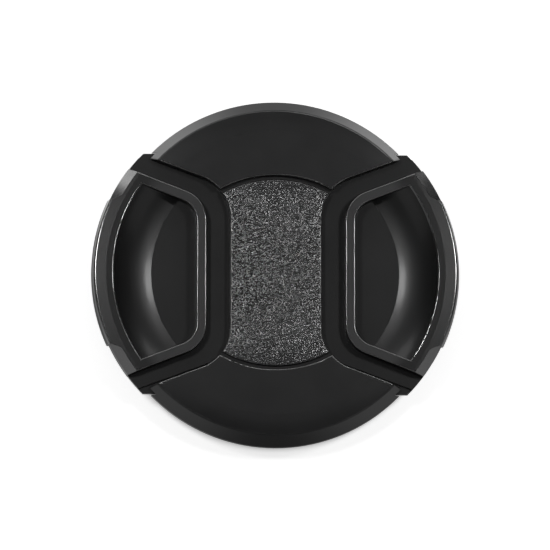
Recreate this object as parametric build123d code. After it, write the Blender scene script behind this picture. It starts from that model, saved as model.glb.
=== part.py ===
from build123d import *
import os
from math import cos, radians, sin, sqrt, tan

# Lens thread that the cap snaps into
thread_d = 58.0
thread_pitch = 0.75
thread_gap = 0.05

# Flange and raised front
flange_out = 1.5
seat_z = 3.8
flange_top_z = 5.6
face_z = 9.0
face_edge_in = 1.9
face_edge_drop = 0.3
face_roll_w = 3.6

# Middle pad and the groove above and below it
pad_z = 8.3
groove_z = 7.6
segment_arc_r = 20.2
segment_arc_y = 17.1
groove_w = 1.0

# Openings in the front for the latches
waist_half_w = 8.0
waist_r = 7.6
opening_slant = 20.3
opening_ref_x = 20.06
opening_ref_in = 2.03
roof_under_z = 6.6
roof_over_hollow_z = 7.0

# Skirt and guide walls
skirt_gap = 0.6
skirt_wall = 2.2
guide_in = 4.5
guide_wall = 1.2

# Back plate and the formed studs that hold it
plate_gap = 0.3
plate_z = 0.8
plate_t = 1.0
plate_edge = 0.3
stud_r = 1.2
stud_pin_r = 0.8
stud_hole_gap = 0.05
stud_head_r = 1.5
stud_head_h = 0.5
stud_head_edge = 0.3
outer_stud_x = 7.0
outer_stud_in = 1.67
middle_stud_y = 4.5
middle_stud_r = 1.5

# Latch travel
rest_shift = 1.84
travel = 3.0
slide_gap = 0.2

# Latch frame and finger pocket
frame_inner_x = 12.19
frame_slant = 21.0
frame_ref_x = 23.42
frame_ref_in = 4.2
frame_r = 5.5
frame_wall = 1.7
pocket_floor = 1.6
ramp_run = 6.8
ramp_start = 12.0
lip_flat = 1.15
lip_slope_w = 2.2
lip_slope_drop = 0.15

# Latch outer wall, grip lip and corner facets
latch_inset = 0.4
lip_out = 0.35
lip_under_z = 4.0
facet_cut_r = 6.4
facet_cut_from = (6.06, 1.47)
facet_run = 1.68
facet_foot_z = 7.9

# Latch slide plate
band_z = 6.4
step_z = 5.8
slide_under_z = 4.6
slide_inner_x = 7.0
band_ref_x = 24.2
band_ref_in = 1.0
ear_x = 8.4
stop_w = 1.5
stop_depth = 1.5
runner_y = 6.0
runner_w = 1.2
runner_x = (13.2, 21.5)

# Ribbed thread wall
rib_count = 3
rib_h = 0.45
rib_first_z = 1.2
rib_base = 0.6
thread_wall = 1.1
thread_wall_z = 0.4
thread_wall_half_w = 16.6

# Springs
spring_y = 9.5
spring_z = 4.1
spring_d = 3.0
spring_wire = 0.36
spring_turns = 6.0
spring_sides = 8
lug_t = 1.5
lug_half_w = 1.9
lug_z = 2.2
peg_r = 0.9
peg_len = 1.5

# Softened edges
edge_r = 0.25
ridge_r = 0.5
latch_edge_r = 0.2
pad_edge_r = 0.1

flange_r = thread_d / 2 + flange_out
face_edge_r = flange_r - face_edge_in
face_flat_r = face_edge_r - face_roll_w
skirt_r = thread_d / 2 - skirt_gap
skirt_in_r = skirt_r - skirt_wall
plate_top_z = plate_z + plate_t
plate_r = skirt_in_r - plate_gap
guide_half_w = plate_r - guide_in
slide_half_w = guide_half_w - slide_gap
outer_stud_y = sqrt((plate_r - outer_stud_in) ** 2 - outer_stud_x**2)
opening_ref = (opening_ref_x, guide_half_w - opening_ref_in)
band_ref = (band_ref_x, guide_half_w - band_ref_in)
frame_ref = (frame_ref_x, guide_half_w - frame_ref_in)
latch_r = flange_r - latch_inset
lip_r = latch_r + lip_out
lip_slope_r = latch_r - lip_slope_w
ramp_outer_r = lip_slope_r - lip_flat
ramp_inner_r = ramp_outer_r - ramp_run
facet_top_r = latch_r - facet_run
pocket_inner_x = frame_inner_x + frame_wall
pocket_r = frame_r - frame_wall
pocket_z = lip_under_z + pocket_floor
rib_tip_r = thread_d / 2 - thread_gap
rib_root_r = rib_tip_r - rib_h
thread_wall_in_r = rib_root_r - thread_wall
stop_x = ear_x + stop_w
over = 1.0
far = 60.0
tiny = 0.01


def slab(sketch, low, high):
    """Upright prism of a sketch between two heights."""
    return extrude(Pos(0, 0, low) * sketch, high - low)


def turned_face(face, axis_x=0.0):
    """Solid turned about an upright axis from a (radius, height) face."""
    return Pos(axis_x, 0, 0) * revolve(Plane.XZ * face, Axis.Z)


def turned(outline, axis_x=0.0):
    """Solid turned about an upright axis from a (radius, height) outline."""
    return turned_face(make_face(outline), axis_x)


def turned_points(points, axis_x=0.0):
    """Solid turned from straight sides given as (radius, height) points."""
    return turned(Polyline(*points, close=True), axis_x)


def rounded(outline, corner, r):
    """Face of an outline with one corner rounded."""
    face = make_face(outline)
    return fillet(face.vertices().sort_by_distance(corner)[0], r)


def tapered(inner_x, slant, ref, corner_r):
    """Sketch that widens outward to the left, with its two inner corners rounded."""
    rise = tan(radians(slant))
    inner_y = ref[1] - rise * (ref[0] - inner_x)
    outer_y = ref[1] + rise * (far - ref[0])
    outline = Polyline(
        (-inner_x, inner_y), (-far, outer_y), (-far, -outer_y), (-inner_x, -inner_y), close=True
    )
    sketch = make_face(outline)
    return fillet(sketch.vertices().group_by(Axis.X)[-1], corner_r) if corner_r else sketch


def level_edges(solid, z):
    """Edges of a solid that lie at one height."""
    edges = solid.edges().filter_by(lambda e: e.bounding_box().min.Z > z - tiny)
    return edges.filter_by(lambda e: e.bounding_box().max.Z < z + tiny)


def on_circle(edge, r):
    """Whether an edge is an arc of one radius."""
    return edge.geom_type == GeomType.CIRCLE and abs(edge.radius - r) < tiny


def latch_disc(r):
    """Circle about the axis of the left latch, which lies outside the cap's axis at rest."""
    return Pos(-rest_shift, 0) * Circle(r)


def both_ways(x, y):
    """The four places that mirror one place about the two middle planes."""
    return [(sx * x, sy * y) for sx in (1, -1) for sy in (1, -1)]


def lens(r):
    """Sketch between the arcs that bound the two segments, or arcs that share their centres."""
    arc_centre = segment_arc_y - segment_arc_r
    return Pos(0, arc_centre) * Circle(r) & Pos(0, -arc_centre) * Circle(r)


def stud(x, y, r, top_z):
    """Post that stands on the back plate, with a pin through it and a formed head behind."""
    post = slab(Pos(x, y) * Circle(r), plate_top_z, top_z)
    pin = slab(Pos(x, y) * Circle(stud_pin_r), plate_z - stud_head_h / 2, plate_top_z + over / 2)
    head = slab(Pos(x, y) * Circle(stud_head_r), plate_z - stud_head_h, plate_z)
    head = chamfer(head.edges().group_by(Axis.Z)[0], stud_head_edge)
    return post + pin + head


def stud_places():
    """Places and sizes of all the studs."""
    outer = [(x, y, stud_r, roof_over_hollow_z + over) for x, y in both_ways(outer_stud_x, outer_stud_y)]
    middle = [(0, s * middle_stud_y, middle_stud_r, roof_under_z + over) for s in (1, -1)]
    return outer + middle


def front_cover():
    """Front moulding with the segments, pad, flange, skirt arcs, guide walls and studs."""
    shoulder_z = face_z - face_edge_drop
    outline = Polyline(
        (0, face_z), (0, seat_z), (flange_r, seat_z), (flange_r, flange_top_z), (face_edge_r, shoulder_z)
    )
    outline += Line((0, face_z), (face_flat_r, face_z))
    outline += TangentArc((face_flat_r, face_z), (face_edge_r, shoulder_z), tangent=(1, 0))
    cover = turned_face(rounded(outline, (face_edge_r, shoulder_z), ridge_r))

    opening = tapered(waist_half_w, opening_slant, opening_ref, waist_r)
    for side in (opening, mirror(opening, about=Plane.YZ)):
        cover -= slab(side, roof_under_z - over, face_z + over)
    pad_arc_r = segment_arc_r - groove_w
    cover -= slab(lens(segment_arc_r), pad_z, face_z + over)
    cover -= slab(lens(segment_arc_r) - lens(pad_arc_r), groove_z, face_z + over)
    sharp = level_edges(cover, face_z).filter_by(lambda e: not on_circle(e, face_flat_r))
    cover = fillet(sharp, edge_r)
    pad_sides = level_edges(cover, pad_z).filter_by(lambda e: not on_circle(e, pad_arc_r))
    cover = fillet(pad_sides, pad_edge_r)

    channel = slab(Rectangle(2 * far, 2 * guide_half_w), 0, roof_under_z)
    skirt = slab(Circle(skirt_r) - Circle(skirt_in_r), 0, seat_z + over) - channel
    cover = cover - channel + skirt
    hollow = Circle(skirt_in_r) - Rectangle(2 * far, 2 * (guide_half_w + guide_wall))
    cover -= slab(hollow, 0, roof_over_hollow_z)
    for s in (1, -1):
        wall = Pos(0, s * (guide_half_w + guide_wall / 2)) * Rectangle(2 * far, guide_wall)
        cover += slab(wall & Circle(skirt_in_r + over), plate_top_z, seat_z + over)
    for x, y in both_ways(stop_x - stop_w / 2, guide_half_w - stop_depth / 2):
        cover += slab(Pos(x, y) * Rectangle(stop_w, stop_depth), plate_top_z, roof_under_z)
    for x, y, r, top_z in stud_places():
        cover += stud(x, y, r, top_z)
    return cover


def back_plate():
    """Flat disc with a hole for each stud."""
    plate = slab(Circle(plate_r), plate_z, plate_top_z)
    rim = plate.edges().group_by(Axis.Z)[0]
    plate = chamfer(rim, plate_edge)
    for x, y, _, _ in stud_places():
        plate -= slab(Pos(x, y) * Circle(stud_pin_r + stud_hole_gap), plate_z - over, plate_top_z + over)
    return plate


def pocket_body():
    """Material that stays below the finger pocket: flat floor, concave ramp and rounded edge."""
    top = (ramp_outer_r, face_z)
    ramp = TangentArc(
        (ramp_inner_r, pocket_z), top, tangent=(cos(radians(ramp_start)), sin(radians(ramp_start)))
    )
    outline = ramp + Polyline(
        top,
        (far, face_z),
        (far, pocket_z - over),
        (ramp_inner_r, pocket_z - over),
        (ramp_inner_r, pocket_z),
    )
    return turned_face(rounded(outline, top, latch_edge_r), -rest_shift)


def ramp_relief():
    """Hollow under the ramp that leaves an even wall."""
    rise = face_z - pocket_z
    run = ramp_outer_r - ramp_inner_r
    start = radians(ramp_start)
    ramp_r = (run**2 + rise**2) / (2 * (rise * cos(start) - run * sin(start)))
    centre_r = ramp_inner_r - ramp_r * sin(start)
    centre_z = pocket_z + ramp_r * cos(start)
    under_r = ramp_r + pocket_floor

    def under(r):
        return (r, centre_z - sqrt(under_r**2 - (r - centre_r) ** 2))

    low_z = lip_under_z - over
    inner = centre_r + sqrt(under_r**2 - (centre_z - lip_under_z) ** 2)
    outer = thread_wall_in_r - pocket_floor / 2
    arc = ThreePointArc(under(inner), under((inner + outer) / 2), under(outer))
    outline = arc + Polyline(under(outer), (outer, low_z), (inner, low_z), under(inner))
    return turned(outline, -rest_shift)


def thread_wall_piece():
    """Arc wall behind the latch with ribs at the thread pitch."""
    top_z = lip_under_z + over / 2
    points = [(thread_wall_in_r, thread_wall_z), (rib_root_r, thread_wall_z)]
    for i in range(rib_count):
        z = rib_first_z + i * thread_pitch
        points += [(rib_root_r, z - rib_base / 2), (rib_tip_r, z), (rib_root_r, z + rib_base / 2)]
    points += [(rib_root_r, top_z), (thread_wall_in_r, top_z)]
    span = slab(Pos(-far / 2, 0) * Rectangle(far, 2 * thread_wall_half_w), 0, top_z)
    return turned_points(points, -rest_shift) & span


def slide_plate():
    """Plate that runs under the cover: a wide step with stop ears, and the visible band on it."""
    inside = Pos(-slide_inner_x - far / 2, 0)
    step = inside * Rectangle(far, 2 * slide_half_w) & latch_disc(latch_r)
    notch_len = stop_w + travel + slide_gap / 2
    for s in (1, -1):
        notch = Pos(-ear_x - notch_len / 2, s * slide_half_w) * Rectangle(notch_len, 2 * stop_depth)
        step -= notch
    band = tapered(slide_inner_x, opening_slant, band_ref, 0) & latch_disc(latch_r)
    return slab(step, slide_under_z, step_z) + slab(band, step_z - over / 2, band_z)


def latch():
    """Left latch: frame with finger pocket, grip lip, slide plate, thread wall and spring seats."""
    frame = tapered(frame_inner_x, frame_slant, frame_ref, frame_r)
    lip_top = (latch_r, face_z - lip_slope_drop)
    outline = Polyline(
        (0, lip_under_z),
        (lip_r, lip_under_z),
        (lip_r, band_z),
        lip_top,
        (lip_slope_r, face_z),
        (0, face_z),
        close=True,
    )
    envelope = turned_face(rounded(outline, lip_top, ridge_r), -rest_shift)
    body = slab(frame, 0, face_z) & envelope
    facet_lean = (latch_r - facet_top_r) / (face_z - facet_foot_z)
    outside = turned_points(
        [
            (facet_top_r - over * facet_lean, face_z + over),
            (latch_r, facet_foot_z),
            (latch_r, lip_under_z - over),
            (far, lip_under_z - over),
            (far, face_z + over),
        ],
        -rest_shift,
    )
    corner = (frame & latch_disc(facet_top_r)).vertices().sort_by(Axis.Y)[-1]
    for s in (1, -1):
        facet = Pos(corner.X - facet_cut_from[0], s * (corner.Y + facet_cut_from[1])) * Circle(facet_cut_r)
        body -= slab(facet, 0, face_z + over) & outside
    body = fillet(level_edges(body, face_z).filter_by(lambda e: not on_circle(e, lip_slope_r)), latch_edge_r)

    wall_shift = frame_wall / cos(radians(frame_slant))
    pocket_ref = (frame_ref[0], frame_ref[1] - wall_shift)
    pocket = tapered(pocket_inner_x, frame_slant, pocket_ref, pocket_r)
    well_r = ramp_outer_r + latch_edge_r
    well = slab(pocket & latch_disc(well_r), pocket_z, face_z + over)
    body -= well
    rim = level_edges(body, face_z).filter_by(lambda e: well.distance_to(e @ 0.5) < tiny)
    body = fillet(rim.filter_by(lambda e: not on_circle(e, well_r)), latch_edge_r)
    body += well & pocket_body()
    body -= slab(pocket, 0, face_z) & ramp_relief()

    body += slide_plate() - (well - pocket_body())
    body += thread_wall_piece()
    runner_mid = -(runner_x[0] + runner_x[1]) / 2
    for s in (1, -1):
        runner = Pos(runner_mid, s * runner_y) * Rectangle(runner_x[1] - runner_x[0], runner_w)
        body += slab(runner, plate_top_z, lip_under_z + over / 2)
        lug = Pos(-slide_inner_x - lug_t / 2, s * spring_y) * Rectangle(lug_t, 2 * lug_half_w)
        body += slab(lug, lug_z, step_z)
        peg = Pos(-slide_inner_x, s * spring_y, spring_z) * Rot(0, 90, 0) * Cylinder(
            peg_r, peg_len, align=(Align.CENTER, Align.CENTER, Align.MIN)
        )
        body += peg
    return body


def spring():
    """Coil spring along X between the latch lugs, with flat ground ends."""
    length = 2 * slide_inner_x
    mean_r = (spring_d - spring_wire) / 2
    pitch = length / spring_turns
    path = Helix(pitch, length + pitch, mean_r)
    wire = Plane(origin=path @ 0, z_dir=path % 0) * RegularPolygon(spring_wire / 2, spring_sides)
    coil = sweep(wire, path, is_frenet=True)
    coil = Pos(0, 0, -pitch / 2) * coil & Pos(0, 0, length / 2) * Box(far, far, length)
    return Pos(-slide_inner_x, 0, spring_z) * Rot(0, 90, 0) * coil


left = latch()
coil = spring()
pieces = {
    "front_cover": front_cover(),
    "back_plate": back_plate(),
    "latch_left": left,
    "latch_right": mirror(left, about=Plane.YZ),
    "spring_upper": Pos(0, spring_y, 0) * coil,
    "spring_lower": Pos(0, -spring_y, 0) * coil,
}

os.makedirs("parts", exist_ok=True)
for name, piece in pieces.items():
    export_step(piece, "parts/" + name + ".step")
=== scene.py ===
import logging
import math
from dataclasses import dataclass, field
from enum import Enum
from typing import Any

import bmesh
import bpy
from mathutils import Matrix, Vector, noise


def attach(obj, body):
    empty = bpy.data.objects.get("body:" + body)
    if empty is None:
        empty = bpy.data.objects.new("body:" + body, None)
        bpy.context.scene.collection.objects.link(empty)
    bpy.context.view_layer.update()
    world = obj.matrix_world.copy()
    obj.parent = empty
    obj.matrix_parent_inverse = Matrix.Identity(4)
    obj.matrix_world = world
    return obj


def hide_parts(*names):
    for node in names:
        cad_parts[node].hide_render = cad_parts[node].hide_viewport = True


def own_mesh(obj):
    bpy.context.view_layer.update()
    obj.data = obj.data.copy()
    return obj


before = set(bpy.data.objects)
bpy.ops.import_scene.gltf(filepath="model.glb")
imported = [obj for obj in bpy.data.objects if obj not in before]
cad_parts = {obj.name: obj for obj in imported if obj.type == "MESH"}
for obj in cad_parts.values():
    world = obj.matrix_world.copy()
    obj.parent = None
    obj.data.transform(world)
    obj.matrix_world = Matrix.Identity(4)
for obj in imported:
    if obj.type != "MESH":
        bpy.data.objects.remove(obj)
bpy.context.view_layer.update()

MM = 0.001
CAP_BODY = "cap"
BLACK = (0.0, 0.0, 0.0)
WHITE = (1.0, 1.0, 1.0)
Colour = tuple[float, float, float]
LOG = logging.getLogger("lens_cap")


class Side(Enum):
    """The two latches, by the sign of their side along X."""

    LEFT = -1
    RIGHT = 1

    @property
    def word(self) -> str:
        """The side's name as it stands in the names of pieces and lamps."""
        return self.name.lower()

    @property
    def joint(self) -> str:
        """Name of the latch's slide."""
        return f"latch_{self.word}_slide"


class Value:
    """A number in a node tree, on which Python's arithmetic adds Math nodes."""

    def __init__(self, shader: "Shader", socket: bpy.types.NodeSocket) -> None:
        """Wraps one output socket of a shader's tree."""
        self.shader = shader
        self.socket = socket

    def _math(self, operation: str, first: Any, second: Any) -> "Value":
        """Adds a Math node.

        Args:
            operation: The node's operation.
            first: Left operand, a Value or a number.
            second: Right operand, a Value or a number.

        Returns:
            The node's result.
        """
        made = self.shader.node("ShaderNodeMath", {"operation": operation}, {0: first, 1: second})
        return Value(self.shader, made.outputs[0])

    def __add__(self, other: Any) -> "Value":
        """Sum."""
        return self._math("ADD", self, other)

    def __radd__(self, other: Any) -> "Value":
        """Sum, reflected."""
        return self._math("ADD", other, self)

    def __sub__(self, other: Any) -> "Value":
        """Difference."""
        return self._math("SUBTRACT", self, other)

    def __rsub__(self, other: Any) -> "Value":
        """Difference, reflected."""
        return self._math("SUBTRACT", other, self)

    def __mul__(self, other: Any) -> "Value":
        """Product."""
        return self._math("MULTIPLY", self, other)

    def __rmul__(self, other: Any) -> "Value":
        """Product, reflected."""
        return self._math("MULTIPLY", other, self)

    def largest(self, other: Any) -> "Value":
        """The larger of two values."""
        return self._math("MAXIMUM", self, other)

    def unsigned(self) -> "Value":
        """The value without its sign."""
        return self._math("ABSOLUTE", self, 0.0)


class Shader:
    """A node tree that is filled through one method."""

    def __init__(self, tree: bpy.types.NodeTree) -> None:
        """Clears the tree and keeps it."""
        self.tree = tree
        self.tree.nodes.clear()

    def node(self, kind: str, settings: dict[str, Any] | None = None,
             sockets: dict[Any, Any] | None = None) -> bpy.types.Node:
        """Adds a node.

        Args:
            kind: The node's type.
            settings: Its properties, which are set first.
            sockets: Its inputs by name or number, each a value, a socket or a Value.

        Returns:
            The new node.
        """
        made = self.tree.nodes.new(kind)
        for name, setting in (settings or {}).items():
            setattr(made, name, setting)
        for name, given in (sockets or {}).items():
            target = made.inputs[name]
            if isinstance(given, Value):
                given = given.socket
            if isinstance(given, bpy.types.NodeSocket):
                self.tree.links.new(given, target)
            else:
                target.default_value = given
        return made

    def value(self, node: bpy.types.Node, output: Any = 0) -> Value:
        """An output of a node as a Value."""
        return Value(self, node.outputs[output])

    def along(self, place: bpy.types.NodeSocket, axis: str) -> Value:
        """One part of a vector, by the axis' letter."""
        return self.value(self.node("ShaderNodeSeparateXYZ", None, {0: place}), axis)

    def radius(self, place: bpy.types.NodeSocket) -> Value:
        """Distance of a place from the cap's axis.

        Args:
            place: The place, as a vector.

        Returns:
            The distance in metres.
        """
        flat = self.node("ShaderNodeVectorMath", {"operation": "MULTIPLY"}, {
            0: place, 1: (1.0, 1.0, 0.0)})
        length = self.node("ShaderNodeVectorMath", {"operation": "LENGTH"}, {0: flat.outputs["Vector"]})
        return self.value(length, "Value")

    def step(self, measure: Value, start: float, end: float, low: float = 0.0,
             high: float = 1.0) -> Value:
        """A smooth step.

        Args:
            measure: The value that is followed.
            start: Where the step starts.
            end: Where it ends.
            low: What it gives before the start.
            high: What it gives past the end.

        Returns:
            The step's result.
        """
        made = self.node("ShaderNodeMapRange", {"interpolation_type": "SMOOTHSTEP"}, {
            "Value": measure, "From Min": start, "From Max": end, "To Min": low, "To Max": high})
        return self.value(made, "Result")

    def reached(self, measure: Value, size_mm: float, blend_mm: float) -> Value:
        """One from a size in millimetres on, with a soft start just short of it."""
        return self.step(measure, (size_mm - blend_mm) * MM, size_mm * MM)

    def cloud(self, place: bpy.types.NodeSocket, scale: float, detail: float,
              roughness: float) -> Value:
        """Soft noise in space.

        Args:
            place: The place that is read.
            scale: Waves to the metre.
            detail: Finer layers.
            roughness: Strength of the finer layers.

        Returns:
            The noise, about one half on the whole.
        """
        made = self.node("ShaderNodeTexNoise", {"noise_dimensions": "3D"}, {
            "Vector": place, "Scale": scale, "Detail": detail, "Roughness": roughness})
        return self.value(made, "Fac")

    def blend(self, share: Value, first: Any, second: Any) -> bpy.types.NodeSocket:
        """Mixes two colours.

        Args:
            share: Share of the second colour.
            first: The first, a colour or a socket.
            second: The second, a colour or a socket.

        Returns:
            The mixed colour's socket.
        """
        first, second = ((*c, 1.0) if isinstance(c, tuple) else c for c in (first, second))
        made = self.node("ShaderNodeMix", {"data_type": "RGBA"}, {"Factor": share, 6: first, 7: second})
        return made.outputs[2]

    def pictured(self) -> Value:
        """One for rays that the camera sees straight or through glass, nought for the others."""
        rays = self.node("ShaderNodeLightPath")
        return self.value(rays, "Is Camera Ray").largest(self.value(rays, "Is Transmission Ray"))


def new_material(name: str) -> tuple[bpy.types.Material, Shader]:
    """Makes an empty material.

    Args:
        name: Name of the material.

    Returns:
        The material and its tree.
    """
    made = bpy.data.materials.new(name)
    made.use_nodes = True
    return made, Shader(made.node_tree)


@dataclass(frozen=True)
class RubbedEdges:
    """Rounded edges just under the front face, which hands rub smooth.

    Attributes:
        sheen: Strength of the smooth skin there.
        from_mm: Height from which the edges are rubbed.
        tilt: Tilt in degrees at which the rubbing starts.
        full_tilt: Tilt in degrees at which it is full.
        rim_mm: Radius from which the outer rim starts, or nought for a piece without one.
        rim_from_mm: Height from which the outer rim is rubbed.
        height_blend_mm: Height over which the rubbing sets in.
        rim_blend_mm: Width over which the rim sets in.
    """

    sheen: float
    from_mm: float
    tilt: float
    full_tilt: float
    rim_mm: float = 0.0
    rim_from_mm: float = 0.0
    height_blend_mm: float = 0.05
    rim_blend_mm: float = 0.3

    def share(self, shader: Shader, spot: bpy.types.Node) -> Value:
        """Share of the rubbing that a place has had.

        Args:
            shader: The material's tree.
            spot: Its Texture Coordinate node.

        Returns:
            Nought on the flat faces, one on the edges.
        """
        place = spot.outputs["Object"]
        height = shader.along(place, "Z")
        facing = shader.along(spot.outputs["Normal"], "Z")
        tilted = shader.step(facing, *(math.cos(math.radians(t)) for t in (self.tilt, self.full_tilt)))
        upper = shader.reached(height, self.from_mm, self.height_blend_mm)
        if self.rim_mm:
            rim = shader.reached(height, self.rim_from_mm, self.height_blend_mm)
            outside = shader.reached(shader.radius(place), self.rim_mm, self.rim_blend_mm)
            upper = upper + outside * (rim - upper)
        return tilted * upper


@dataclass(frozen=True)
class PaintedTopHighlight:
    """The highest face inside the rim, painted paler: a painted highlight where the face's top catches the
    lamps.

    Attributes:
        colour: Colour of the painted highlight.
        from_mm: Height at which the painted highlight starts.
        full_mm: Height at which it is full.
        inner_mm: Radius inside which it is full.
        outer_mm: Radius at which it ends.
        even: Share of the painted highlight that is even.
        patchy: Share of the painted highlight that comes in patches.
    """

    colour: Colour
    from_mm: float = 8.85
    full_mm: float = 8.95
    inner_mm: float = 25.0
    outer_mm: float = 28.0
    even: float = 0.6
    patchy: float = 0.8

    def share(self, shader: Shader, place: bpy.types.NodeSocket, patch: Value) -> Value:
        """Share of the painted highlight's colour at a place.

        Args:
            shader: The material's tree.
            place: The place in the piece.
            patch: The finish's soft patches.

        Returns:
            The share of the painted highlight's colour.
        """
        top = shader.step(shader.along(place, "Z"), self.from_mm * MM, self.full_mm * MM)
        inside = shader.step(shader.radius(place), self.outer_mm * MM, self.inner_mm * MM)
        return top * inside * (self.even + patch * self.patchy)


@dataclass(frozen=True)
class MouldedPlastic:
    """Black moulded plastic with a fine spark-eroded surface.

    Attributes:
        name: Name of the material.
        dark: Colour of the valleys.
        light: Colour of the peaks and of faint rubbed patches; on lumps, of their tops, where it also
            paints part of the glints that the tops catch.
        rough: Roughness between the patches.
        rough_spread: How far the roughness varies.
        grain_mm: Size of the surface grain.
        grain_depth_mm: Depth of the surface grain.
        ior: Refractive index of the plastic.
        sheen: Strength of the smooth skin over the faces.
        sheen_rough: Roughness of the smooth skin.
        sheen_ior: Refractive index of the smooth skin.
        edges: The rubbed edges, if there are any.
        top_highlight: The painted highlight on the top, if there is one.
        lumps: Name of the piece's own lump heights, which take the place of the patches in the colour.
        lump_even: Share of a lump's colour that is even.
        lump_grained: Share of a lump's colour that the grain varies.
        grain_share: Share of the grain in the colour without lumps; the patches have the rest.
        patches_per_m: Patches to the metre.
    """

    name: str
    dark: Colour
    light: Colour
    rough: float
    rough_spread: float
    grain_mm: float
    grain_depth_mm: float
    ior: float = 1.5
    sheen: float = 0.0
    sheen_rough: float = 0.15
    sheen_ior: float = 2.3
    edges: RubbedEdges | None = None
    top_highlight: PaintedTopHighlight | None = None
    lumps: str = ""
    lump_even: float = 0.4
    lump_grained: float = 1.2
    grain_share: float = 0.45
    patches_per_m: float = 130.0

    def tone(self, shader: Shader, grain: Value, patch: Value) -> Value:
        """Share of the light colour at a place.

        Args:
            shader: The material's tree.
            grain: Height of the surface grain.
            patch: The soft patches.

        Returns:
            The share of the light colour.
        """
        if not self.lumps:
            return grain * self.grain_share + patch * (1 - self.grain_share)
        # Lighter towards the lumps' tops: grain tone that also paints part of the glints that the tops
        # catch.
        lump = shader.value(shader.node("ShaderNodeAttribute", {"attribute_name": self.lumps}), "Fac")
        return lump * lump * (self.lump_even + grain * self.lump_grained)

    def material(self) -> bpy.types.Material:
        """Makes the material.

        Returns:
            The new material.
        """
        made, shader = new_material(self.name)
        spot = shader.node("ShaderNodeTexCoord")
        place = spot.outputs["Object"]
        grain = shader.cloud(place, 1 / (self.grain_mm * MM), detail=3.0, roughness=0.55)
        patch = shader.cloud(place, self.patches_per_m, detail=4.0, roughness=0.6)
        colour = shader.blend(self.tone(shader, grain, patch), self.dark, self.light)
        # A paler top is painted on: a painted highlight where the top catches the lamps.
        if self.top_highlight:
            colour = shader.blend(self.top_highlight.share(shader, place, patch), colour, self.top_highlight.colour)
        bump = shader.node("ShaderNodeBump", None, {
            "Strength": 1.0, "Distance": self.grain_depth_mm * MM, "Height": grain})
        coat: Any = self.sheen
        if self.edges:
            coat = self.sheen + self.edges.share(shader, spot) * (self.edges.sheen - self.sheen)
        skin = shader.node("ShaderNodeBsdfPrincipled", None, {
            "Base Color": colour,
            "Roughness": self.rough + (patch - 0.5) * self.rough_spread,
            "Coat Weight": coat,
            "Coat Roughness": self.sheen_rough,
            "Coat IOR": self.sheen_ior,
            "Normal": bump.outputs["Normal"],
            "IOR": self.ior})
        shader.node("ShaderNodeOutputMaterial", None, {"Surface": skin.outputs["BSDF"]})
        return made


@dataclass(frozen=True)
class DrawnWire:
    """Bright spring wire with faint lines from drawing.

    Attributes:
        name: Name of the material.
        colour: Colour of the steel.
        rough: Mean roughness.
        rough_spread: How far the roughness varies.
        shade: Share of the colour that is left in the lines.
        lines_per_m: Lines to the metre.
    """

    name: str
    colour: Colour
    rough: float
    rough_spread: float = 0.2
    shade: float = 0.8
    lines_per_m: float = 9000.0

    def material(self) -> bpy.types.Material:
        """Makes the material.

        Returns:
            The new material.
        """
        made, shader = new_material(self.name)
        place = shader.node("ShaderNodeTexCoord").outputs["Object"]
        streak = shader.cloud(place, self.lines_per_m, detail=2.0, roughness=0.5)
        skin = shader.node("ShaderNodeBsdfPrincipled", None, {
            "Base Color": shader.blend(streak, tuple(c * self.shade for c in self.colour), self.colour),
            "Metallic": 1.0,
            "Roughness": self.rough + (streak - 0.5) * self.rough_spread})
        shader.node("ShaderNodeOutputMaterial", None, {"Surface": skin.outputs["BSDF"]})
        return made


def dress_node(node: str, material: bpy.types.Material) -> None:
    """Gives a CAD node its finish.

    Args:
        node: Name of the node.
        material: The finish.
    """
    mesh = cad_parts[node].data
    mesh.materials.clear()
    mesh.materials.append(material)
    LOG.info("dressed %s with %s", node, material.name)


def new_object(name: str, bm: bmesh.types.BMesh, material: bpy.types.Material) -> bpy.types.Object:
    """Makes an object from a bmesh.

    Args:
        name: Name of the object.
        bm: The shape, in place; it is freed.
        material: The finish.

    Returns:
        The new object.
    """
    mesh = bpy.data.meshes.new(name)
    bm.to_mesh(mesh)
    bm.free()
    mesh.materials.append(material)
    made = bpy.data.objects.new(name, mesh)
    bpy.context.scene.collection.objects.link(made)
    LOG.info("built %s with %d faces", name, len(mesh.polygons))
    return made


def new_piece(name: str, bm: bmesh.types.BMesh, material: bpy.types.Material) -> bpy.types.Object:
    """Makes a piece that rides on the cap.

    Args:
        name: Name of the piece.
        bm: The shape, in place; it is freed.
        material: The finish.

    Returns:
        The new object.
    """
    piece = new_object(name, bm, material)
    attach(piece, CAP_BODY)
    return piece


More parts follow.
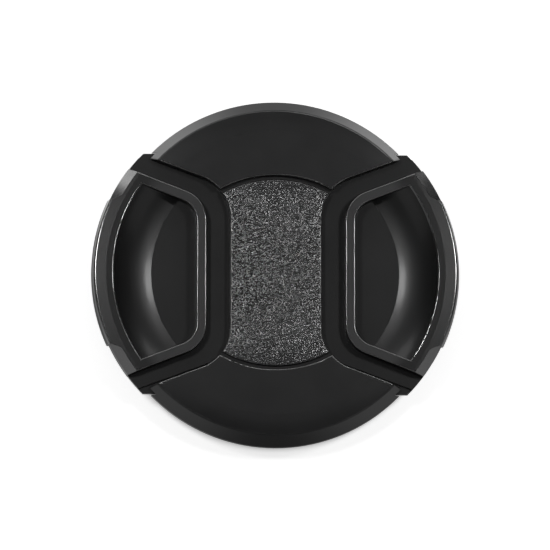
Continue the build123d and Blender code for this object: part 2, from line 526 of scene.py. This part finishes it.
@dataclass
class GrainedPad:
    """Raised grain on the middle pad of the front cover. Sizes in millimetres.

    Attributes:
        top_z: Height of the pad's flat top.
        half_w: Half the pad's width at its waist.
        waist_r: Radius of the pad's flared corners.
        flare_y: Place along Y at which the sides start to flare.
        flare_share: Share of the corner's radius over which the flare is followed.
        arc_r: Radius of the arcs above and below.
        arc_centre: Place of the upper arc's centre along Y.
        edge: How far the grain stays inside the pad's outline; below nought it reaches past it.
        fit_rounds: Rounds in which a point is fitted to the outline.
        step: Size of the grid.
        grain: Size of the grain's lumps.
        height: Height of the lumps.
        mean_rise: Rise of a middling lump, as a share of that height.
        rise_spread: How far the lumps' rise varies.
        cell_spread: Scale that sets neighbouring lumps apart in the draw of their rise.
        fall: How fast a lump falls off from its middle.
        fade_w: Width of the border in which the lumps grow.
        fade_from: Share of their height that they have at the outline.
        round_w: Width of the rounded border.
        round_drop: How far the border drops.
        sunk: How deep the piece reaches into the pad.
        facing: Least upward part of the normal of a face that is shaded smooth.
        lumps: Name under which the lumps' heights are kept on the mesh.
    """

    top_z: float = 8.3
    half_w: float = 8.0
    waist_r: float = 7.6
    flare_y: float = 9.62
    flare_share: float = 0.95
    arc_r: float = 19.5
    arc_centre: float = -3.1
    edge: float = -0.02
    fit_rounds: int = 4
    step: float = 0.08
    grain: float = 0.155
    height: float = 0.05
    mean_rise: float = 0.65
    rise_spread: float = 0.6
    cell_spread: float = 9.7
    fall: float = 1.6
    fade_w: float = 0.3
    fade_from: float = 0.35
    round_w: float = 0.3
    round_drop: float = 0.12
    sunk: float = 0.72
    facing: float = 0.2
    lumps: str = "lump_height"

    def side_at(self, y: float) -> float:
        """Half width of the pad at a place along Y."""
        past = min(max(abs(y) - self.flare_y, 0.0), self.waist_r * self.flare_share)
        return self.half_w + self.waist_r - math.sqrt(self.waist_r**2 - past**2)

    def end_at(self, x: float) -> float:
        """Where the pad's arc ends at a place along X."""
        return self.arc_centre + math.sqrt(self.arc_r**2 - x * x)

    def outlined(self, u: float, v: float) -> Vector:
        """Moves a point of the unit square onto the pad.

        Args:
            u: Place across the pad, from -1 to 1.
            v: Place along the pad, from -1 to 1.

        Returns:
            The point in millimetres.
        """
        x, y = u * self.half_w, 0.0
        for _ in range(self.fit_rounds):
            y = v * (self.end_at(x) - self.edge)
            x = u * (self.side_at(y) - self.edge)
        return Vector((x, y, self.top_z))

    def lump(self, point: Vector, fade: float) -> float:
        """Height of the grain at a point.

        Args:
            point: Place on the pad in millimetres.
            fade: Share of the grain's height that is left near the outline.

        Returns:
            The height over the pad's top, as a share of the lumps' height.
        """
        gaps, middles = noise.voronoi(point / self.grain)
        rise = self.mean_rise + self.rise_spread * noise.cell(middles[0] * self.cell_spread)
        return fade * max(0.0, 1.0 - self.fall * gaps[0] * gaps[0]) * rise

    def build(self, material: bpy.types.Material) -> bpy.types.Object:
        """Builds the grained pad as one closed piece.

        Args:
            material: The pad's finish.

        Returns:
            The new object.
        """
        bm = bmesh.new()
        across = round(2 * self.half_w / self.step)
        along = round(2 * self.end_at(0.0) / self.step)
        bmesh.ops.create_grid(bm, x_segments=across, y_segments=along, size=1.0)
        kept = bm.verts.layers.float.new(self.lumps)
        for vert in bm.verts:
            u, v = vert.co.x, vert.co.y
            rim = min((1 - abs(u)) * self.half_w, (1 - abs(v)) * self.end_at(0.0))
            point = self.outlined(u, v)
            vert[kept] = self.lump(point, min(1.0, self.fade_from + rim / self.fade_w))
            border = max(0.0, 1 - rim / self.round_w)
            point.z += self.height * vert[kept] - self.round_drop * border**2
            vert.co = point * MM
        rim_edges = [e for e in bm.edges if e.is_boundary]
        skirt = bmesh.ops.extrude_edge_only(bm, edges=rim_edges)["geom"]
        for vert in (g for g in skirt if isinstance(g, bmesh.types.BMVert)):
            vert.co.z = (self.top_z - self.sunk) * MM
        bmesh.ops.holes_fill(bm, edges=[e for e in bm.edges if e.is_boundary], sides=0)
        bmesh.ops.recalc_face_normals(bm, faces=bm.faces[:])
        for face in bm.faces:
            face.smooth = face.normal.z > self.facing
        return new_piece("pad_grain", bm, material)


@dataclass
class CoilSpring:
    """Half of a coil spring, from the middle of the cap to one latch. Sizes in millimetres.

    Attributes:
        node: The CAD node that the halves stand for.
        centre_y: Place of the spring's axis along Y.
        centre_z: Height of the spring's axis.
        reach: Length of one half.
        coil_r: Radius of the wire's centreline.
        wire_r: Radius of the wire.
        wire_sides: Sides of the wire's section.
        turns: Turns of one half, without the closed one at the latch.
        turn_steps: Steps to a turn.
        seam: Distance within which points at the seam are merged.
        travel: How far the latch pushes its half; not used.
    """

    node: str
    centre_y: float
    centre_z: float = 4.1
    reach: float = 7.0
    coil_r: float = 1.32
    wire_r: float = 0.18
    wire_sides: int = 10
    turns: float = 2.5
    turn_steps: int = 26
    seam: float = 0.002
    travel: float = 3.0

    def build(self, side: Side, material: bpy.types.Material) -> bpy.types.Object:
        """Builds one half, wound outward from the middle, with a closed turn at the latch.

        Args:
            side: The latch that this half leans on.
            material: The wire's finish.

        Returns:
            The new object.
        """
        bm = bmesh.new()
        axis = Vector((side.value, 0.0, 0.0))
        centre = Vector((0.0, self.centre_y, self.centre_z))
        ring = bmesh.ops.create_circle(
            bm, cap_ends=True, segments=self.wire_sides, radius=self.wire_r)["verts"]
        bmesh.ops.translate(bm, verts=ring, vec=centre + Vector((0.0, self.coil_r, 0.0)))
        section: list[Any] = [f for f in bm.faces]
        # The closed turn rises by a wire's width, and the wire's outer half takes up the rest of the reach.
        open_pitch = (self.reach - 3 * self.wire_r) / self.turns
        closed_pitch = 2 * self.wire_r
        for pitch, turns in ((open_pitch, self.turns), (closed_pitch, 1.0)):
            steps = round(turns * self.turn_steps)
            wound = bmesh.ops.spin(
                bm, geom=section, cent=centre, axis=axis, dvec=axis * (pitch * turns / steps),
                angle=math.tau * turns, steps=steps, use_merge=False)
            section = [g for g in wound["geom_last"] if isinstance(g, bmesh.types.BMFace)]
        bmesh.ops.remove_doubles(bm, verts=bm.verts[:], dist=self.seam)
        bmesh.ops.scale(bm, verts=bm.verts[:], vec=Vector((MM, MM, MM)))
        bmesh.ops.recalc_face_normals(bm, faces=bm.faces[:])
        for face in bm.faces:
            face.smooth = len(face.verts) == 4
        piece = new_piece(f"{self.node}_{side.word}", bm, material)
        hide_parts(self.node)
        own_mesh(piece)
        return piece


@dataclass
class LensCap:
    """The cap's finishes and the pieces that the looks add to it.

    Attributes:
        spring_y: How far the springs lie above and below the middle, in millimetres.
    """

    spring_y: float = 9.5

    def dress(self) -> None:
        """Gives the moulded pieces their finishes."""
        cover = MouldedPlastic(
            name="satin_black", dark=(0.006, 0.006, 0.0063), light=(0.0105, 0.0105, 0.011),
            rough=0.36, rough_spread=0.1, grain_mm=0.22, grain_depth_mm=0.006, sheen=0.06,
            edges=RubbedEdges(sheen=0.9, from_mm=8.75, tilt=6.8, full_tilt=10.88))
        plate = MouldedPlastic(
            name="plate_black", dark=(0.006, 0.006, 0.0064), light=(0.01, 0.01, 0.0105),
            rough=0.5, rough_spread=0.12, grain_mm=0.3, grain_depth_mm=0.006)
        latch = MouldedPlastic(
            name="latch_black", dark=(0.0015, 0.0015, 0.0016), light=(0.004, 0.004, 0.0043),
            rough=0.36, rough_spread=0.08, grain_mm=0.2, grain_depth_mm=0.005, sheen=0.055,
            edges=RubbedEdges(sheen=1.0, from_mm=8.78, tilt=4.5, full_tilt=7.2,
                              rim_mm=29.2, rim_from_mm=7.9),
            # The latch's top gets a painted highlight, a paler colour on its highest face.
            top_highlight=PaintedTopHighlight(colour=(0.036, 0.036, 0.0366)))
        dress_node("front_cover", cover.material())
        dress_node("back_plate", plate.material())
        latch_skin = latch.material()
        for side in Side:
            dress_node(f"latch_{side.word}", latch_skin)

    def build(self) -> None:
        """Dresses the moulded pieces and builds the grain and the springs."""
        self.dress()
        # Its light colour, on the lumps' tops, also paints part of their glints.
        grained = MouldedPlastic(
            name="grain_black", dark=(0.004, 0.004, 0.0042), light=(0.175, 0.175, 0.179),
            rough=0.2, rough_spread=0.06, grain_mm=0.15, grain_depth_mm=0.022, ior=2.2,
            lumps=GrainedPad.lumps)
        GrainedPad().build(grained.material())
        wire = DrawnWire(name="spring_wire", colour=(0.6, 0.6, 0.61), rough=0.3).material()
        for node, y in (("spring_upper", self.spring_y), ("spring_lower", -self.spring_y)):
            for side in Side:
                CoilSpring(node=node, centre_y=y).build(side, wire)


@dataclass
class StudioFloor:
    """Plain white floor. Sizes in metres.

    Attributes:
        reach: How far it reaches at least.
        colour: Colour of the floor.
        lift: Extra brightness in the picture, which makes it white; it is left out under the cap, which
            paints a shadow around its foot.
        painted_shadow_in: Radius inside which the lift is left out, a painted shadow.
        painted_shadow_out: Radius at which the painted shadow ends.
        near: Brightness below the cap as it shows in glossy surfaces.
        far: The same above the cap.
        turn: How far from the middle the brightness stops changing along X and Y.
        corner: Share by which it grows towards the four corners.
        corner_x: Where this growth starts and ends along X.
        corner_y: The same along Y.
        under: Glow added right under the cap, at its right, which only glossy surfaces show; it fades
            towards the left.
        under_in: Radius inside which that is full.
        under_out: Radius at which it ends.
    """

    reach: float = 3.0
    colour: Colour = (0.8, 0.8, 0.8)
    lift: float = 0.74
    painted_shadow_in: float = 0.029
    painted_shadow_out: float = 0.0312
    near: float = 0.15
    far: float = 0.55
    turn: float = 0.03
    corner: float = 2.6
    corner_x: tuple[float, float] = (0.004, 0.03)
    corner_y: tuple[float, float] = (0.008, 0.025)
    under: float = 1.8
    under_in: float = 0.022
    under_out: float = 0.028

    def pictured(self, shader: Shader, place: bpy.types.NodeSocket) -> bpy.types.NodeSocket:
        """The floor as the picture shows it.

        Args:
            shader: The floor's tree.
            place: The place on the floor.

        Returns:
            The shader's socket.
        """
        # The lift fades out under the cap, which paints a shadow at its foot.
        outside_painted_shadow = shader.step(shader.radius(place), self.painted_shadow_in, self.painted_shadow_out)
        matt = shader.node("ShaderNodeBsdfDiffuse", None, {"Color": (*self.colour, 1.0)})
        glow = shader.node("ShaderNodeEmission", None, {
            "Color": shader.blend(outside_painted_shadow, BLACK, WHITE),
            "Strength": shader.pictured() * self.lift})
        lit = shader.node("ShaderNodeAddShader", None, {0: matt.outputs[0], 1: glow.outputs[0]})
        return lit.outputs[0]

    def reflected(self, shader: Shader, place: bpy.types.NodeSocket) -> bpy.types.NodeSocket:
        """The floor as glossy surfaces show it: a painted glow in place of the lit floor, brighter above
        the cap, towards the corners and right under it.

        Args:
            shader: The floor's tree.
            place: The place on the floor.

        Returns:
            The shader's socket.
        """
        x, y = (shader.along(place, axis) for axis in "XY")
        pool = shader.step(y, -self.turn, self.turn, self.near, self.far)
        corner = shader.step(x.unsigned(), *self.corner_x) * shader.step(y.unsigned(), *self.corner_y)
        hidden = shader.step(shader.radius(place), self.under_out, self.under_in)
        under = hidden * shader.step(x, -self.turn, self.turn, 0.0, self.under)
        brightest = self.far * (1.0 + self.corner) + self.under
        share = (pool * (1.0 + corner * self.corner) + under) * (1.0 / brightest)
        glow = shader.node("ShaderNodeEmission", None, {
            "Color": shader.blend(share, BLACK, WHITE), "Strength": brightest})
        return glow.outputs[0]

    def material(self) -> bpy.types.Material:
        """Makes the floor's material, which can't be seen from below.

        Returns:
            The new material.
        """
        made, shader = new_material("studio_floor")
        place = shader.node("ShaderNodeTexCoord").outputs["Object"]
        glossy = shader.value(shader.node("ShaderNodeLightPath"), "Is Glossy Ray")
        both = shader.node("ShaderNodeMixShader", None, {
            0: glossy, 1: self.pictured(shader, place), 2: self.reflected(shader, place)})
        clear = shader.node("ShaderNodeBsdfTransparent")
        below = shader.value(shader.node("ShaderNodeNewGeometry"), "Backfacing")
        sheet = shader.node("ShaderNodeMixShader", None, {
            0: below, 1: both.outputs[0], 2: clear.outputs[0]})
        shader.node("ShaderNodeOutputMaterial", None, {"Surface": sheet.outputs[0]})
        return made

    def build(self) -> bpy.types.Object:
        """Lays the floor, as one triangle so that no seam crosses it.

        Returns:
            The floor's object.
        """
        bm = bmesh.new()
        bmesh.ops.create_circle(bm, cap_ends=True, segments=3, radius=2 * self.reach)
        floor = new_object("floor", bm, self.material())
        return floor


@dataclass
class Softbox:
    """A soft area lamp that faces the cap.

    Attributes:
        name: Name of the lamp.
        towards: Direction from the cap to the lamp.
        distance: Distance in metres.
        width: Width of its cloth in metres.
        height: Height of its cloth in metres.
        radiance: Brightness of its cloth.
    """

    name: str
    towards: tuple[float, float, float]
    distance: float
    width: float
    height: float
    radiance: float

    def build(self) -> bpy.types.Object:
        """Hangs the lamp.

        Returns:
            The lamp's object.
        """
        lamp = bpy.data.lights.new(self.name, "AREA")
        lamp.shape = "RECTANGLE"
        lamp.size = self.width
        lamp.size_y = self.height
        lamp.energy = self.radiance * math.pi * self.width * self.height
        hung = bpy.data.objects.new(self.name, lamp)
        bpy.context.scene.collection.objects.link(hung)
        back = Vector(self.towards).normalized()
        hung.location = back * self.distance
        hung.rotation_euler = back.to_track_quat("Z", "Y").to_euler()
        LOG.info("hung %s", self.name)
        return hung


@dataclass
class Studio:
    """White floor, pale surroundings, lamps and the camera.

    Attributes:
        floor: The floor.
        fill: Brightness of the surroundings as they light the cap.
        aim: The point in the picture's middle, in metres.
        lean_x: How far the camera leans to the side, in degrees.
        lean_y: How far the camera leans down, in degrees.
        distance: Camera's distance in metres.
        span: Width that the picture spans at the cap, in metres.
        sensor_mm: Width of the camera's sensor.
        clip: Nearest and farthest distance that the camera sees, in metres.
    """

    floor: StudioFloor = field(default_factory=StudioFloor)
    fill: float = 0.03
    aim: tuple[float, float, float] = (0.0, 0.0, 0.0046)
    lean_x: float = -2.5
    lean_y: float = -7.3
    distance: float = 1.0
    span: float = 0.0966
    sensor_mm: float = 36.0
    clip: tuple[float, float] = (0.01, 20.0)

    def surroundings(self) -> None:
        """Makes the surroundings white in the picture and dim as light."""
        world = bpy.data.worlds.new("studio")
        bpy.context.scene.world = world
        world.use_nodes = True
        shader = Shader(world.node_tree)
        strength = self.fill + shader.pictured() * (1.0 - self.fill)
        glow = shader.node("ShaderNodeBackground", None, {"Color": (*WHITE, 1.0), "Strength": strength})
        shader.node("ShaderNodeOutputWorld", None, {"Surface": glow.outputs[0]})

    def lamps(self) -> None:
        """Hangs a small softbox near each latch, low ones at the sides, wide ones above and below."""
        for side in Side:
            Softbox(name=f"{side.word}_box", towards=(side.value * 0.39 + 0.044, 0.155, 0.89),
                    distance=0.35, width=0.045, height=0.045, radiance=28.5).build()
            Softbox(name=f"{side.word}_low_box", towards=(side.value * 0.725, -0.46, 0.505),
                    distance=1.2, width=0.9, height=0.5, radiance=0.45).build()
        Softbox(name="upper_box", towards=(0.0, 0.83, 0.56),
                distance=1.2, width=2.6, height=0.35, radiance=2.6).build()
        Softbox(name="lower_box", towards=(0.0, -0.8, 0.6),
                distance=1.2, width=2.2, height=0.3, radiance=0.6).build()

    def camera(self) -> bpy.types.Object:
        """Sets the camera, with the picture's top towards +Y.

        Returns:
            The camera's object.
        """
        lens = bpy.data.cameras.new("camera")
        lens.sensor_width = self.sensor_mm
        lens.lens = self.sensor_mm * self.distance / self.span
        lens.clip_start, lens.clip_end = self.clip
        eye = bpy.data.objects.new("camera", lens)
        bpy.context.scene.collection.objects.link(eye)
        lean_x, lean_y = (math.tan(math.radians(lean)) for lean in (self.lean_x, self.lean_y))
        back = Vector((lean_x, lean_y, 1.0)).normalized()
        right = Vector((0.0, 1.0, 0.0)).cross(back).normalized()
        up = back.cross(right)
        turned = Matrix((right, up, back)).transposed().to_4x4()
        eye.matrix_world = Matrix.Translation(Vector(self.aim) + back * self.distance) @ turned
        bpy.context.scene.camera = eye
        return eye

    def build(self) -> None:
        """Sets up the whole studio."""
        self.floor.build()
        self.surroundings()
        self.lamps()
        self.camera()
        bpy.context.scene.view_settings.view_transform = "Standard"
        LOG.info("set up the studio")


def main() -> None:
    """Builds the cap's looks and the studio."""
    logging.basicConfig(level=logging.INFO, format="%(name)s: %(message)s")
    LensCap().build()
    Studio().build()


if __name__ == "__main__":
    main()
